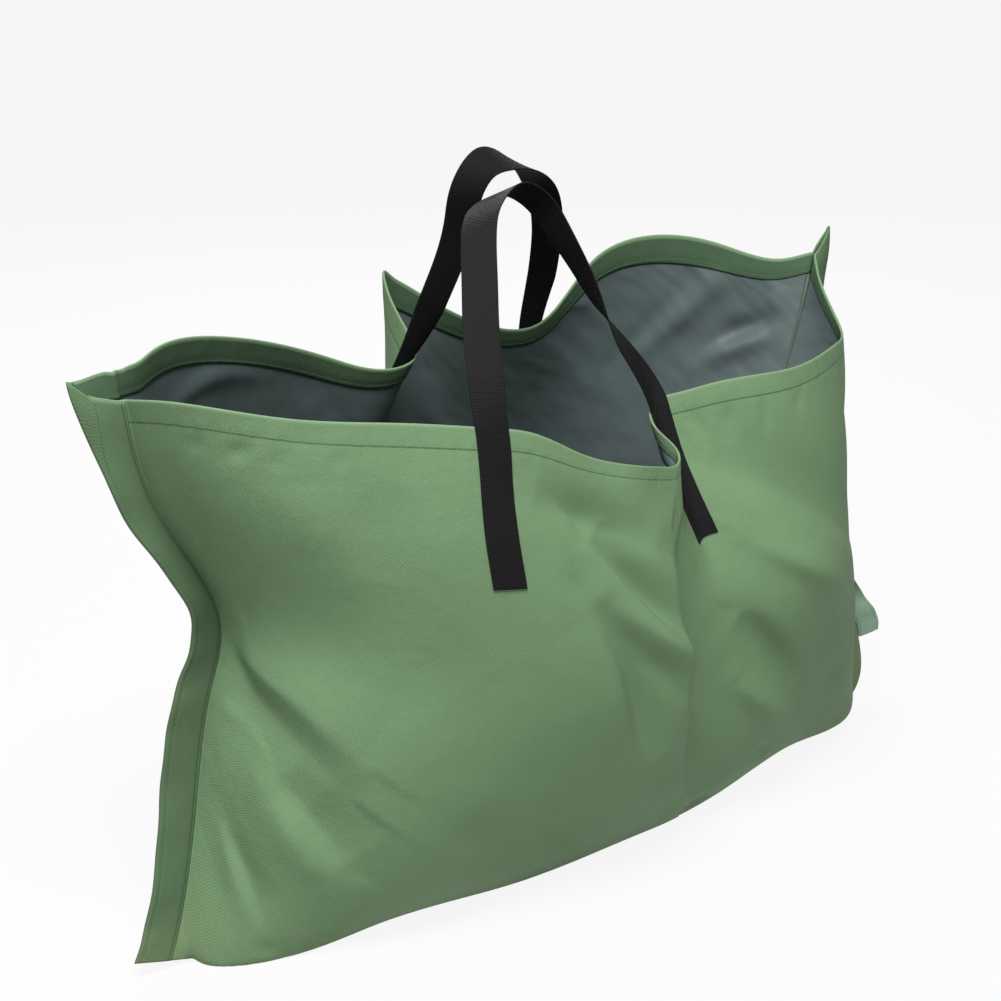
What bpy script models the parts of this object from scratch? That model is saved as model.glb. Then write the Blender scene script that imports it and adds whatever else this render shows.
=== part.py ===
# Leaf bag: a wide soft pouch of coated cloth, open at the top, with two webbing handles.
# Two panels are sewn together at the sides inside folded bindings, and along the bottom under a tape.
# Each handle is one length of webbing. Its two legs are sewn to the outside of a panel, and its loop
# swings on the line where the legs have left the rim.
# X runs along the mouth, the front panel faces -Y, and +Z is up. Lengths are in metres.

import bmesh
import bpy
import numpy as np
from mathutils import Vector

# The pouch
MOUTH_LENGTH = 0.885
BAG_DEPTH = 0.451
RIM_HEIGHT = 0.555
PANEL_DROP = 0.620
CLOTH_THICKNESS = 0.0010
SEWING_GAP = 0.0003
FLOOR_EASING = 0.004

# The turned-in hem round the mouth
HEM_WIDTH = 0.022
HEM_END_CLEARANCE = 0.014

# The folded bindings on the side seams
BINDING_WIDTH = 0.038
BINDING_THICKNESS = 0.0008
BINDING_GAP = 0.0006
SEAM_ALLOWANCE = 0.020

# The tape over the bottom seam, inside
TAPE_WIDTH = 0.024
TAPE_THICKNESS = 0.0008
TAPE_END_CLEARANCE = 0.120

# The webbing handles
WEBBING_WIDTH = 0.034
WEBBING_THICKNESS = 0.0016
SEWN_LENGTH = 0.150
LEG_GAP = 0.0005
STUB_RISE = 0.028
HINGE_CLEARANCE = 0.0002
FRONT_LOOP_HEIGHT = 0.206
BACK_LOOP_HEIGHT = 0.202
FRONT_LOOP_LEAN = np.radians(30.0)
BACK_LOOP_LEAN = np.radians(20.0)

# How far down the cloth each row of the panels lies, from the rim (0) to the bottom seam (1)
ROW_SHARES = (0.0, 0.17, 0.37, 0.52, 0.80, 0.90, 1.0)

# The side seams and the panels' rows, as points drawn in millimetres. The sizes above scale them.
# Rows run from the left seam to the right, and the lowest two lie flat where they dip below zero.
LEFT_SEAM = (
    (-437, 0, 555), (-413, 0, 449), (-352, 0, 326), (-367, -4, 254), (-404, -15, 94),
    (-427, -30, 38), (-449, -46, 8),
)
RIGHT_SEAM = (
    (448, 15, 552), (412, 10, 450), (383, 5, 330), (428, 0, 242), (514, 0, 112), (538, 4, 86),
    (552, 10, 60),
)
FRONT_ROWS = (
    ((-420, -52, 562), (-334, -115, 545), (-247, -158, 535), (-163, -183, 520), (-128, -190, 511),
     (-74, -193, 482), (-36, -190, 464), (8, -187, 449), (66, -164, 429), (101, -146, 422),
     (114, -129, 428), (109, -111, 441), (109, -94, 455), (122, -84, 466), (144, -93, 473),
     (176, -112, 482), (215, -129, 487),
     (269, -135, 487), (363, -105, 489), (417, -60, 490), (432, -14, 526)),
    ((-378, -70, 450), (-305, -140, 438), (-212, -190, 424), (-102, -213, 410), (-12, -213, 388),
     (52, -192, 368), (92, -168, 362), (112, -142, 368), (124, -128, 374), (148, -135, 380),
     (238, -165, 386), (338, -144, 400), (402, -82, 412)),
    ((-318, -90, 310), (-252, -165, 300), (-132, -220, 285), (8, -232, 268), (58, -205, 262),
     (88, -185, 262), (128, -176, 264), (218, -190, 272), (318, -174, 284), (388, -108, 300)),
    ((-352, -90, 218), (-272, -165, 204), (-132, -210, 192), (38, -214, 186), (94, -184, 184),
     (218, -184, 188), (332, -160, 194), (420, -98, 214)),
    ((-378, -86, 48), (-262, -135, 34), (-102, -152, 28), (78, -150, 26), (178, -142, 30),
     (328, -120, 42), (424, -90, 54)),
    ((-408, -72, 8), (-252, -85, -6), (-92, -98, -8), (78, -95, -8), (178, -90, -6),
     (328, -76, 10), (432, -70, 14), (498, -43, 32)),
)
BACK_ROWS = (
    ((-388, 45, 577), (-282, 92, 566), (-151, 105, 519), (-77, 95, 496), (-48, 100, 500),
     (-32, 140, 525), (-12, 195, 560), (38, 190, 531), (92, 172, 499), (159, 160, 486),
     (254, 160, 553), (312, 140, 570), (373, 92, 561), (420, 42, 545)),
    ((-372, 60, 450), (-282, 115, 440), (-162, 135, 415), (-82, 130, 405), (-44, 160, 405),
     (-2, 205, 410), (78, 205, 400), (178, 185, 400), (268, 170, 420), (348, 110, 430)),
    ((-318, 80, 310), (-232, 140, 300), (-112, 170, 290), (-42, 190, 290), (8, 210, 290),
     (118, 219, 290), (238, 185, 290), (328, 120, 300)),
    ((-346, 80, 218), (-258, 142, 206), (-122, 178, 196), (18, 206, 194), (128, 210, 194),
     (238, 180, 196), (342, 124, 206), (404, 72, 216)),
    ((-382, 60, 28), (-252, 110, 26), (-102, 140, 26), (78, 145, 26), (218, 130, 26),
     (348, 95, 34), (452, 50, 58)),
    ((-390, 24, -2), (-252, 65, -8), (-92, 85, -8), (78, 88, -8), (198, 80, -8), (338, 60, 2),
     (468, 35, 34)),
)
KEEL_ROW = (
    (-402, -30, -3), (-242, 0, -10), (-82, 0, -10), (78, 0, -10), (178, 0, -10), (318, -4, -4),
    (418, -18, -2), (490, -31, 4), (536, -12, 31),
)

# Which way the side seams stand out from the pouch, from the rim down
LEFT_FLARE = ((-0.92, 0.24, 0.24), (-0.96, -0.17, 0.03), (-0.97, -0.20, 0.06), (-0.98, -0.10, 0.12),
              (-0.97, 0.0, 0.22), (-0.96, 0.0, 0.22), (-0.95, 0.0, 0.28))
RIGHT_FLARE = ((0.55, 0.0, 0.83), (0.96, 0.0, 0.28), (0.98, 0.0, 0.20), (1.0, 0.0, 0.05), (1.0, 0.0, 0.02),
               (1.0, 0.0, 0.0), (1.0, 0.0, -0.02))

# Where the middle of each leg lies along its panel, at the rim, halfway down and at its sewn end, and
# where the same columns of cloth meet the bottom seam
FRONT_LEG_SHARES = {"left": (0.299, 0.313, 0.3075), "right": (0.629, 0.626, 0.624)}
BACK_LEG_SHARES = {"left": (0.378, 0.375, 0.372), "right": (0.668, 0.671, 0.674)}
KEEL_SHARES = (0.345, 0.640)

# The loops as seen square on: share of the way between the legs, and share of the loop's height
FRONT_LOOP_SHARES = ((0.0, 0.0), (0.03, 0.136), (0.12, 0.365), (0.20, 0.553), (0.275, 0.74),
                   (0.345, 0.87), (0.49, 0.97), (0.65, 1.0), (0.79, 0.93), (0.855, 0.81),
                   (0.895, 0.69), (0.94, 0.54), (0.972, 0.38), (0.992, 0.20), (1.0, 0.0))
BACK_LOOP_SHARES = ((0.0, 0.0), (0.005, 0.11), (0.055, 0.30), (0.14, 0.51), (0.31, 0.74), (0.56, 0.92),
                  (0.80, 1.0), (0.94, 0.985), (0.99, 0.88), (0.95, 0.69), (0.925, 0.47),
                  (0.955, 0.24), (1.0, 0.0))

# How finely the sheets are divided
COLUMN_COUNTS = {"left": 9, "leg": 4, "middle": 24, "right": 15}
ROW_COUNTS = {"sewn": 4, "below": 12, "stub": 3, "loop": 34}
CUT_MARGIN = 0.004

GREEN = (0.115, 0.205, 0.105, 1.0)
DARK_GREEN = (0.075, 0.165, 0.080, 1.0)
BLACK = (0.010, 0.010, 0.011, 1.0)
GREY = (0.120, 0.150, 0.155, 1.0)


def natural_curve(knots, values, at):
    """Points at the given parameters on the natural cubic curve through the values."""
    knots = np.asarray(knots, float)
    values = np.asarray(values, float)
    at = np.atleast_1d(np.asarray(at, float))
    count = len(knots)
    step = np.diff(knots)
    system = np.eye(count)
    target = np.zeros((count, values.shape[1]))
    for index in range(1, count - 1):
        before, after = step[index - 1], step[index]
        system[index, index - 1:index + 2] = (before, 2 * (before + after), after)
        rise = (values[index + 1] - values[index]) / after
        fall = (values[index] - values[index - 1]) / before
        target[index] = 6 * (rise - fall)
    bend = np.linalg.solve(system, target)
    span = np.clip(np.searchsorted(knots, at, side="right") - 1, 0, count - 2)
    width = step[span][:, None]
    left = (knots[span + 1] - at)[:, None] / width
    right = (at - knots[span])[:, None] / width
    bulge = (left ** 3 - left) * bend[span] + (right ** 3 - right) * bend[span + 1]
    return left * values[span] + right * values[span + 1] + bulge * width ** 2 / 6


def curve_through(points, at):
    """Points at shares of the way along a smooth curve through the given ones."""
    points = np.asarray(points, float)
    reach = np.linalg.norm(np.diff(points, axis=0), axis=1)
    knots = np.concatenate(([0.0], np.cumsum(reach)))
    return natural_curve(knots / knots[-1], points, at)


def unit(vectors):
    return vectors / np.linalg.norm(vectors, axis=-1, keepdims=True)


def real_size(points):
    """Drawn millimetres to metres, at the bag's length, depth and height."""
    drawn_length = RIGHT_SEAM[0][0] - LEFT_SEAM[0][0]
    drawn_front = min(point[1] for row in FRONT_ROWS for point in row)
    drawn_back = max(point[1] for row in BACK_ROWS for point in row)
    scale = (MOUTH_LENGTH / drawn_length, BAG_DEPTH / (drawn_back - drawn_front),
             RIM_HEIGHT / LEFT_SEAM[0][2])
    return np.array(points, float) * scale


def settled(height):
    """Heights above the floor, where cloth drawn lower than the floor lies flat on it."""
    eased = np.clip(height + FLOOR_EASING, 0, 2 * FLOOR_EASING)
    return np.where(height > FLOOR_EASING, height, eased ** 2 / (4 * FLOOR_EASING))


class Panel:
    """One wall of the pouch: side is -1 for the front and +1 for the back."""

    def __init__(self, side, rows, legs):
        self.side = side
        self.legs = legs
        ends = zip(LEFT_SEAM, rows + (KEEL_ROW,), RIGHT_SEAM)
        self.rows = [real_size((left, *row, right)) for left, row, right in ends]
        self.depths = row_depths()
        self.stations = np.array([self.columns(depth) for depth in self.depths])
        self.points = self.grid(self.stations, self.depths)
        self.normals = self.outward(self.points)
        steep = np.abs(self.normals[..., 1])
        self.points[..., 1] += side * (SEWING_GAP + CLOTH_THICKNESS * steep) / 2

    def grid(self, stations, depths):
        """Points of the cloth's middle, for one list of stations at each depth."""
        points = np.zeros(stations.shape + (3,))
        for row, depth in enumerate(depths):
            at_rows = np.array([curve_through(line, stations[row]) for line in self.rows])
            flat = at_rows.reshape(len(self.rows), -1)
            points[row] = natural_curve(ROW_SHARES, flat, depth).reshape(-1, 3)
        points[..., 2] = CLOTH_THICKNESS / 2 + settled(points[..., 2])
        return points

    def outward(self, points):
        """Unit normals that point out of the bag."""
        across = np.gradient(points, axis=1)
        down = np.gradient(points, axis=0)
        return unit(np.cross(across, down)) * self.side

    def columns(self, depth):
        """Shares along the row at one depth, so that each leg keeps the webbing's width."""
        line = self.grid(np.linspace(0, 1, 81)[None], [depth])[0]
        half = WEBBING_WIDTH / 2 / np.linalg.norm(np.diff(line, axis=0), axis=1).sum()
        sewn_end = SEWN_LENGTH / PANEL_DROP
        middles = []
        for shares, keel in zip(self.legs.values(), KEEL_SHARES):
            middles.append(float(np.interp(depth, (0.0, sewn_end / 2, sewn_end, 1.0), (*shares, keel))))
        edges = (0.0, middles[0] - half, middles[0] + half, middles[1] - half, middles[1] + half, 1.0)
        counts = [COLUMN_COUNTS[key] for key in ("left", "leg", "middle", "leg", "right")]
        runs = [np.linspace(start, stop, count + 1)[:-1]
                for start, stop, count in zip(edges, edges[1:], counts)]
        return np.concatenate(runs + [[1.0]])

    def leg_columns(self, leg):
        """The columns of the grid that lie under one leg."""
        first = COLUMN_COUNTS["left"]
        if leg == "right":
            first += COLUMN_COUNTS["leg"] + COLUMN_COUNTS["middle"]
        return slice(first, first + COLUMN_COUNTS["leg"] + 1)


def row_depths():
    """Depths of the grid's rows, as shares: one on the hem's edge, one at the legs' sewn end, and
    one at the edge of the tape over the bottom seam."""
    hem = HEM_WIDTH / PANEL_DROP
    sewn = SEWN_LENGTH / PANEL_DROP
    tape = 1 - TAPE_WIDTH / 2 / PANEL_DROP
    return np.concatenate(([0.0], np.linspace(hem, sewn, ROW_COUNTS["sewn"] + 1),
                           np.linspace(sewn, tape, ROW_COUNTS["below"] + 1)[1:], [1.0]))


def seam_frames(seam, flare):
    """Along one side seam: its points, the way it stands out, and its normal towards the front."""
    depths = row_depths()
    points = natural_curve(ROW_SHARES, real_size(seam), depths)
    out = unit(natural_curve(ROW_SHARES, flare, depths))
    along = unit(np.gradient(points, axis=0))
    front = unit(np.cross(along, out))
    front *= -np.sign(front[:, 1:2])
    return points, out, front


def finish_material(name, colour, roughness):
    material = bpy.data.materials.new(name)
    material.use_nodes = True
    shader = material.node_tree.nodes["Principled BSDF"]
    shader.inputs["Base Color"].default_value = colour
    shader.inputs["Roughness"].default_value = roughness
    shader.inputs["Metallic"].default_value = 0.0
    material.diffuse_color = colour
    return material


def sheet(name, points, thickness, colour, roughness, square=False):
    """A sheet laid through a grid of points and thickened by half to each side."""
    rows, columns = points.shape[:2]
    shape = bmesh.new()
    bmesh.ops.create_grid(shape, x_segments=columns - 1, y_segments=rows - 1, size=0.5)
    for vertex in shape.verts:
        column = round((vertex.co.x + 0.5) * (columns - 1))
        row = round((vertex.co.y + 0.5) * (rows - 1))
        vertex.co = Vector(points[row, column])
    mesh = bpy.data.meshes.new(name)
    shape.to_mesh(mesh)
    shape.free()
    mesh.shade_smooth()
    piece = bpy.data.objects.new(name, mesh)
    mesh.materials.append(finish_material(name, colour, roughness))
    solidify = piece.modifiers.new("thickness", "SOLIDIFY")
    solidify.thickness = thickness
    solidify.offset = 0.0
    solidify.use_even_offset = square
    return piece


def trimmed(piece, cuts):
    """The thickened piece with everything on the near side of each cutting plane taken away."""
    bag.objects.link(piece)
    solid = bpy.data.meshes.new_from_object(
        piece.evaluated_get(bpy.context.evaluated_depsgraph_get()))
    bag.objects.unlink(piece)
    shape = bmesh.new()
    shape.from_mesh(solid)
    for point, towards in cuts:
        bmesh.ops.bisect_plane(shape, geom=shape.verts[:] + shape.edges[:] + shape.faces[:],
                               plane_co=Vector(point), plane_no=Vector(towards), clear_inner=True)
        bmesh.ops.holes_fill(shape, edges=[edge for edge in shape.edges if edge.is_boundary])
    bmesh.ops.recalc_face_normals(shape, faces=shape.faces[:])
    shape.to_mesh(solid)
    shape.free()
    piece.modifiers.clear()
    piece.data = solid
    return piece


def make_panel(name, panel, seams):
    """A panel with its side edges turned out flat between the two faces of the bindings."""
    points = panel.points.copy()
    off_middle = (SEWING_GAP + CLOTH_THICKNESS) / 2
    flaps = []
    for (seam, out, front), column in zip(seams, (0, -1)):
        points[:, column] = seam - panel.side * front * off_middle
        flaps.append((points[:, column] + out * SEAM_ALLOWANCE)[:, None])
    points = np.concatenate((flaps[0], points, flaps[1]), axis=1)
    return sheet(name, points, CLOTH_THICKNESS, GREEN, 0.6)


def make_binding(name, seam):
    """Cloth folded round the outer edge of a side seam, a clear gap off the panels' edges."""
    points, out, front = seam
    reach = SEWING_GAP / 2 + CLOTH_THICKNESS + BINDING_GAP + BINDING_THICKNESS / 2
    start = SEWING_GAP + BINDING_THICKNESS
    end = BINDING_WIDTH - BINDING_THICKNESS / 2
    inner = SEAM_ALLOWANCE
    corners = ((start, 1), (inner, 1), (end, 1), (end, -1), (inner, -1), (start, -1))
    section = [points + out * width + front * reach * face for width, face in corners]
    return sheet(name, np.stack(section, axis=1), BINDING_THICKNESS, DARK_GREEN, 0.6, square=True)


def clear_of_ends(line, clearance):
    """The columns that lie further than the clearance from both ends of a line."""
    travelled = np.concatenate(([0.0], np.cumsum(np.linalg.norm(np.diff(line, axis=0), axis=1))))
    inside = np.flatnonzero((travelled > clearance) & (travelled < travelled[-1] - clearance))
    return slice(inside[0], inside[-1] + 1)


def make_hem(name, panel):
    """The rim's cloth turned to the inside and sewn down."""
    columns = clear_of_ends(panel.points[0], HEM_END_CLEARANCE)
    depth = CLOTH_THICKNESS + SEWING_GAP
    points = panel.points[:2, columns] - panel.normals[:2, columns] * depth
    return sheet(name, points, CLOTH_THICKNESS, GREEN, 0.6)


def make_tape(name, front, back):
    """The tape that holds the two panels together along the bottom, inside the bag."""
    height = CLOTH_THICKNESS / 2 + SEWING_GAP + TAPE_THICKNESS / 2
    inner = clear_of_ends(front.points[-1], TAPE_END_CLEARANCE)
    edges = [panel.points[-2, inner] - panel.normals[-2, inner] * height for panel in (front, back)]
    middle = (front.points[-1, inner] + back.points[-1, inner]) / 2
    lift = unit(front.normals[-1, inner] + back.normals[-1, inner]) * height
    points = np.stack((edges[0], middle - lift, edges[1]), axis=0)
    return sheet(name, points, TAPE_THICKNESS, GREY, 0.6)


class Handle:
    """One handle: the frame in which its loop is drawn, from its first leg to its second."""

    def __init__(self, panel, first, second, height, lean, path):
        self.panel = panel
        self.legs = (first, second)
        self.height = height
        self.path = path
        raised = CLOTH_THICKNESS / 2 + LEG_GAP + WEBBING_THICKNESS / 2
        self.sewn = {}
        for leg in self.legs:
            patch = (slice(0, ROW_COUNTS["sewn"] + 2), panel.leg_columns(leg))
            self.sewn[leg] = panel.points[patch] + panel.normals[patch] * raised
        self.rise = {leg: self.rim_rise(leg) for leg in self.legs}
        tops = [self.rim_middle(leg) + self.rise[leg] * STUB_RISE for leg in self.legs]
        self.off_axis = WEBBING_THICKNESS / 2 + HINGE_CLEARANCE
        axis = unit(tops[1] - tops[0])
        faces = [unit(np.cross(axis, self.rise[leg])) for leg in self.legs]
        self.pivots = [top + face * self.off_axis for top, face in zip(tops, faces)]
        self.axis = unit(self.pivots[1] - self.pivots[0])
        upright = unit(np.array((0.0, 0.0, 1.0)) - self.axis[2] * self.axis)
        inward = np.cross(upright, self.axis)
        self.up = np.cos(lean) * upright + np.sin(lean) * inward
        self.out = np.cross(self.axis, self.up)

    def rim_middle(self, leg):
        return self.sewn[leg][0, COLUMN_COUNTS["leg"] // 2]

    def rim_rise(self, leg):
        middle = self.sewn[leg][:, COLUMN_COUNTS["leg"] // 2]
        return unit(middle[0] - middle[1])

    def square_rise(self, leg):
        """The stub's direction, square to the hinge's axis."""
        rise = self.rise[leg]
        return unit(rise - np.dot(rise, self.axis) * self.axis)

    def mitre(self, leg):
        return unit(self.square_rise(leg) + self.up)

    def make_leg(self, name, leg):
        """The sewn length and the stub above the rim, which turns square to the hinge's axis."""
        pivot = self.pivots[self.legs.index(leg)]
        rise = self.square_rise(leg)
        face = np.cross(self.axis, rise)
        top = pivot - face * self.off_axis
        base = self.rim_middle(leg)
        at_rim = self.sewn[leg][0] - base
        ahead = self.axis * np.sign(np.dot(at_rim[-1], self.axis))
        across = (np.linspace(0, 1, COLUMN_COUNTS["leg"] + 1) - 0.5)[:, None] * WEBBING_WIDTH
        stub = []
        for share in np.linspace(0, 1, ROW_COUNTS["stub"] + 1)[1:]:
            middle = base + (top - base) * share
            stub.append(middle + at_rim * (1 - share) + across * ahead * share)
        stub.append(top + rise * CUT_MARGIN + across * ahead)
        points = np.concatenate((np.array(stub)[::-1], self.sewn[leg]))
        piece = sheet(name, points, WEBBING_THICKNESS, BLACK, 0.75)
        normal = -self.mitre(leg)
        return trimmed(piece, [(pivot + normal * SEWING_GAP / 2, normal)])

    def make_loop(self, name):
        """The free length: flat on the hinge at both ends and turned to lie on the hand on top."""
        start, end = [pivot - self.out * self.off_axis for pivot in self.pivots]
        shares = np.linspace(0, 1, ROW_COUNTS["loop"] + 1)
        flat = curve_through(self.path, shares)
        middle = start + flat[:, :1] * (end - start) + flat[:, 1:] * self.height * self.up
        ahead = unit(np.gradient(middle, axis=0))
        ahead[0], ahead[-1] = self.up, -self.up
        side = np.cross(ahead, self.out)
        turn = (np.pi * (3 * shares ** 2 - 2 * shares ** 3))[:, None]
        width = np.cos(turn) * side + np.sin(turn) * self.out
        width[0] = width[-1] = self.axis
        middle = np.concatenate(([start - self.up * CUT_MARGIN], middle,
                                 [end - self.up * CUT_MARGIN]))
        width = np.concatenate((width[:1], width, width[-1:])) * WEBBING_WIDTH / 2
        points = np.stack((middle - width, middle, middle + width), axis=1)
        piece = sheet(name, points, WEBBING_THICKNESS, BLACK, 0.75)
        cuts = []
        for leg, pivot in zip(self.legs, self.pivots):
            normal = self.mitre(leg)
            cuts.append((pivot + normal * SEWING_GAP / 2, normal))
        return trimmed(piece, cuts)


def stand_on_floor(pieces):
    """Hang the pieces from one empty that puts the middle of the bag's base at the origin."""
    bpy.context.view_layer.update()
    corners = []
    graph = bpy.context.evaluated_depsgraph_get()
    for piece in pieces:
        mesh = piece.evaluated_get(graph).to_mesh()
        corners += [piece.matrix_world @ vertex.co for vertex in mesh.vertices]
    corners = np.array(corners)
    low, high = corners.min(axis=0), corners.max(axis=0)
    stand = bpy.data.objects.new("stand", None)
    bag.objects.link(stand)
    stand.location = (-(low[0] + high[0]) / 2, -(low[1] + high[1]) / 2, -low[2])
    for piece in pieces:
        if piece.parent is None:
            piece.parent = stand
    return np.array(stand.location), high - low


def main():
    front = Panel(-1, FRONT_ROWS, FRONT_LEG_SHARES)
    back = Panel(1, BACK_ROWS, BACK_LEG_SHARES)
    left_seam = seam_frames(LEFT_SEAM, LEFT_FLARE)
    right_seam = seam_frames(RIGHT_SEAM, RIGHT_FLARE)
    front_handle = Handle(front, "left", "right", FRONT_LOOP_HEIGHT, FRONT_LOOP_LEAN, FRONT_LOOP_SHARES)
    back_handle = Handle(back, "right", "left", BACK_LOOP_HEIGHT, BACK_LOOP_LEAN, BACK_LOOP_SHARES)

    pieces = [
        make_panel("front_panel", front, (left_seam, right_seam)),
        make_panel("back_panel", back, (left_seam, right_seam)),
        make_binding("left_side_binding", left_seam),
        make_binding("right_side_binding", right_seam),
        make_hem("front_rim_hem", front),
        make_hem("back_rim_hem", back),
        make_tape("bottom_seam_tape", front, back),
    ]
    for title, handle in (("front_handle", front_handle), ("back_handle", back_handle)):
        for leg in handle.legs:
            pieces.append(handle.make_leg(f"{title}_{leg}_leg", leg))
        loop = handle.make_loop(f"{title}_loop")
        hinge = bpy.data.objects.new(f"{title}_hinge", None)
        hinge.location = handle.pivots[0]
        bag.objects.link(hinge)
        loop.parent = hinge
        loop.location = -Vector(handle.pivots[0])
        pieces.append(loop)
    for piece in pieces:
        bag.objects.link(piece)

    place, size = stand_on_floor(pieces)
    print("size", np.round(size, 4))
    for title, handle in (("front_handle", front_handle), ("back_handle", back_handle)):
        hinge = bpy.data.objects[f"{title}_hinge"]
        hinge.parent = bpy.data.objects["stand"]
        print(title, "pivot", np.round(handle.pivots[0] + place, 5), "axis", np.round(handle.axis, 5))


for old in list(bpy.data.objects):
    bpy.data.objects.remove(old, do_unlink=True)
bag = bpy.data.collections.new("leaf_bag")
bpy.context.scene.collection.children.link(bag)
main()
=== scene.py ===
import math
import bpy
import bmesh
import numpy as np
from mathutils import Matrix, Vector


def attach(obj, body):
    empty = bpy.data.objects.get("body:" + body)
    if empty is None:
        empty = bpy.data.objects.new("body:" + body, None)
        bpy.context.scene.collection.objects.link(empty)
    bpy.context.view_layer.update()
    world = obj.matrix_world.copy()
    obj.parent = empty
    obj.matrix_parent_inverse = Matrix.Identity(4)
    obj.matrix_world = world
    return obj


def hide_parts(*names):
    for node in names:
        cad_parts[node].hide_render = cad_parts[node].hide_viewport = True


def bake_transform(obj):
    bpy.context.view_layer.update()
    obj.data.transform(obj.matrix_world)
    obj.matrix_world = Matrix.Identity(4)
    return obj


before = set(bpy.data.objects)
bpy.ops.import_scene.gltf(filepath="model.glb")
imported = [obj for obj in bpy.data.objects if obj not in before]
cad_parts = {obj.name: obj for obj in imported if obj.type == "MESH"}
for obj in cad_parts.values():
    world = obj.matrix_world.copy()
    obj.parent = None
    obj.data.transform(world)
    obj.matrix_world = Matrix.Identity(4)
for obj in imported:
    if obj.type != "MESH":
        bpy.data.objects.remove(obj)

scene = bpy.context.scene
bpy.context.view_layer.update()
print("frame loaded")

# the lie of the cloth, in millimetres, from the left side seam to the right one
pouch = {
    "place": (-0.052125, 0.008643, 0.0),
    "rowShares": (0.0, 0.17, 0.37, 0.52, 0.80, 0.90, 1.0),
    "leftSeam": (
        (-437, 0, 555), (-413, 0, 449), (-352, 0, 326), (-367, -4, 254), (-404, -15, 94),
        (-427, -30, 38), (-449, -46, 8),
    ),
    "rightSeam": (
        (448, 15, 552), (412, 10, 450), (383, 5, 330), (428, 0, 242), (514, 0, 112), (538, 4, 86),
        (552, 10, 60),
    ),
    "front": (
        ((-420, -52, 562), (-334, -115, 545), (-247, -158, 535), (-163, -183, 520), (-128, -190, 511),
         (-74, -193, 482), (-36, -190, 464), (8, -187, 449), (66, -164, 429), (101, -146, 422),
         (114, -129, 428), (109, -111, 441), (109, -94, 455), (122, -84, 466), (144, -93, 473),
         (176, -112, 482), (215, -129, 487),
         (269, -135, 487), (363, -105, 489), (417, -60, 490), (432, -14, 526)),
        ((-378, -70, 450), (-305, -140, 438), (-212, -190, 424), (-102, -213, 410), (-12, -213, 388),
         (52, -191, 368), (92, -167, 362), (112, -142, 368), (124, -128, 374), (148, -134, 380),
         (238, -161, 386), (338, -138, 400), (402, -82, 412)),
        ((-318, -90, 310), (-252, -165, 300), (-132, -220, 285), (8, -232, 268), (58, -205, 262),
         (88, -185, 262), (128, -176, 264), (218, -190, 272), (318, -174, 284), (388, -108, 300)),
        ((-352, -90, 218), (-272, -165, 204), (-132, -210, 192), (38, -214, 186), (94, -184, 184),
         (218, -184, 188), (332, -160, 194), (416, -96, 214)),
        ((-378, -86, 48), (-262, -135, 34), (-102, -152, 28), (78, -150, 26), (178, -142, 30),
         (328, -120, 42), (428, -98, 62), (458, -58, 84)),
        ((-420, -62, 4), (-252, -85, -6), (-92, -98, -8), (78, -95, -8), (178, -90, -6),
         (328, -76, 10), (446, -76, 18), (486, -38, 34)),
    ),
    "back": (
        ((-388, 45, 577), (-282, 92, 566), (-151, 105, 519), (-77, 95, 496), (-48, 100, 500),
         (-32, 140, 525), (-12, 195, 560), (38, 190, 531), (92, 172, 499), (159, 160, 486),
         (254, 160, 553), (312, 140, 570), (373, 92, 561), (420, 42, 545)),
        ((-372, 60, 450), (-282, 115, 440), (-162, 135, 415), (-82, 130, 405), (-44, 160, 405),
         (-2, 205, 410), (78, 205, 400), (178, 185, 400), (268, 170, 420), (348, 110, 430)),
        ((-318, 80, 310), (-232, 140, 300), (-112, 170, 290), (-42, 190, 290), (8, 210, 290),
         (118, 219, 290), (238, 185, 290), (328, 120, 300)),
        ((-346, 80, 218), (-258, 142, 206), (-122, 178, 196), (18, 206, 194), (128, 210, 194),
         (238, 180, 196), (342, 124, 206), (404, 72, 216)),
        ((-382, 60, 28), (-252, 110, 26), (-102, 140, 26), (78, 145, 26), (218, 130, 26),
         (348, 95, 34), (452, 50, 58)),
        ((-390, 24, -2), (-252, 65, -8), (-92, 85, -8), (78, 88, -8), (198, 80, -8), (338, 60, 2),
         (468, 35, 34)),
    ),
    "keel": (
        (-410, -44, -2), (-242, 0, -10), (-82, 0, -10), (78, 0, -10), (178, 0, -10), (318, -4, -4),
        (418, -18, -2), (490, -31, 4), (536, -12, 31),
    ),
    "leftFlare": ((-0.90, 0.36, 0.24), (-0.94, -0.33, -0.02), (-0.93, -0.36, 0.02), (-0.97, 0.06, 0.12),
                  (-0.97, 0.03, 0.25), (-0.96, 0.01, 0.22), (-0.95, 0.0, 0.28)),
    "rightFlare": ((0.55, 0.0, 0.83), (0.96, 0.0, 0.28), (0.98, 0.0, 0.20), (1.0, 0.0, 0.05),
                   (1.0, 0.0, 0.02), (1.0, 0.0, 0.0), (1.0, 0.0, -0.02)),
    "floorEasing": 0.004,
    "floorGap": 0.0006,     # the lowest a wall's middle may lie
    "apart": 0.0007,        # each wall is moved off the seams' plane by this
    "drop": 0.620,          # cloth from the rim to the bottom seam
    "width": 1.12,          # cloth across, between the side seams
    "columns": 271,
    "rows": 145,
    "rimCloseness": 1.12,   # over 1 brings the rows closer at the rim
}


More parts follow.
